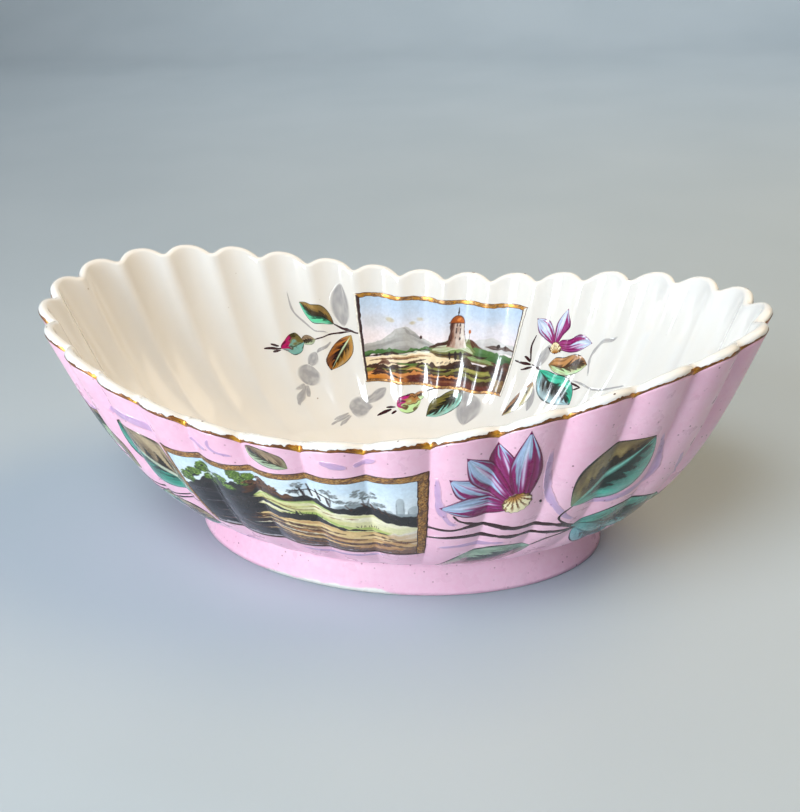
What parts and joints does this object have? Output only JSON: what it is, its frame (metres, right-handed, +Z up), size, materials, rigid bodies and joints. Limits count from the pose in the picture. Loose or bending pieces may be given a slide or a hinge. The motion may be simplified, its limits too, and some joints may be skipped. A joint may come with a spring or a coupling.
{
  "type": "porcelain serving bowl",
  "caption": "Oval porcelain serving bowl with a fluted, saddle-shaped scalloped rim and an oval foot ring, pink outside and white inside, with gilding and painted panels.",
  "frame": {"origin": "centre of the foot ring's base, in the plane that the bowl stands on", "axes": "+X along the bowl's length, +Y across it, away from the side with the broader view of the front panel, +Z up"},
  "size_m": [0.3048, 0.179, 0.1128],
  "materials": {
    "white_glaze": "glossy white glaze over porcelain",
    "pink_ground": "fired pink ground, satin gloss, fine dark specks",
    "gilding": "worn burnished gilding",
    "landscape_enamel": "painted landscape enamels, glossy",
    "flower_enamel": "painted flower and leaf enamels, glossy"
  },
  "bodies": {
    "root": {"bowl_body": "white_glaze", "foot_ring": "white_glaze", "pink_ground": "pink_ground", "rim_gilding": "gilding", "front_panel": "landscape_enamel", "front_panel_frame": "gilding", "front_right_spray": "flower_enamel", "front_left_spray": "flower_enamel", "back_panel": "landscape_enamel", "back_panel_frame": "gilding", "back_right_spray": "flower_enamel", "back_left_spray": "flower_enamel", "inner_back_panel": "landscape_enamel", "inner_back_panel_frame": "gilding", "inner_back_sprays": "flower_enamel", "inner_front_panel": "landscape_enamel", "inner_front_panel_frame": "gilding", "inner_front_sprays": "flower_enamel"}
  },
  "joints": []
}
